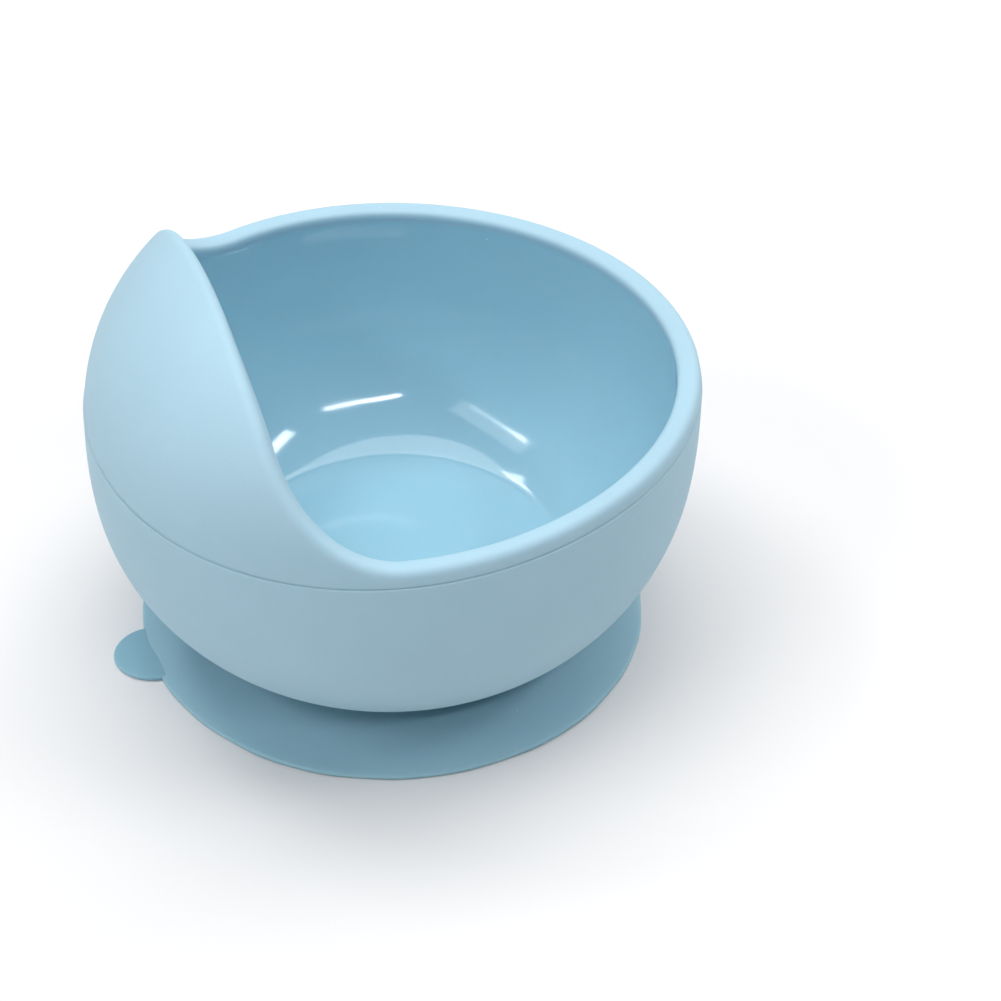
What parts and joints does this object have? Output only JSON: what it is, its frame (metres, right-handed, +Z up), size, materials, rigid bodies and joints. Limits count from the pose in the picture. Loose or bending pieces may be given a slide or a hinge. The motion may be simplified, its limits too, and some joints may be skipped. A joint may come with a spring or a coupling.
{
  "type": "suction bowl",
  "caption": "Round feeding bowl with a raised spoon hood over one side, on a wide suction cup with a release tab.",
  "frame": {"origin": "on the table plane, on the bowl's own axis", "axes": "+Z up along the bowl's axis; the hood and the release tab are on the -X side; XZ is the plane of symmetry"},
  "size_m": [0.117, 0.117, 0.0857],
  "materials": {
    "bowl_silicone": "matte silk outside, polished inside",
    "cup_silicone": "matte silk above, polished below",
    "tab_silicone": "matte silk"
  },
  "bodies": {
    "cup": {"sealing_lip": "cup_silicone", "cup_web": "cup_silicone"},
    "bowl": {"bowl_body": "bowl_silicone", "cup_hub": "cup_silicone"},
    "tab": {"pull_tab": "tab_silicone"}
  },
  "joints": [
    {"name": "cup_press", "type": "slide", "parent": "cup", "child": "bowl", "axis": [0, 0, -1], "range_m": [0, 0.002], "stiffness_N_per_m": 3000, "springref_m": -0.0008, "deforming": ["cup_web"]},
    {"name": "tab_lift", "type": "hinge", "parent": "cup", "child": "tab", "pos_m": [-0.0503, 0, 0.00045], "axis": [0, 1, 0], "range_deg": [0, 75], "stiffness_Nm_per_rad": 0.002, "springref_deg": -2.86}
  ]
}
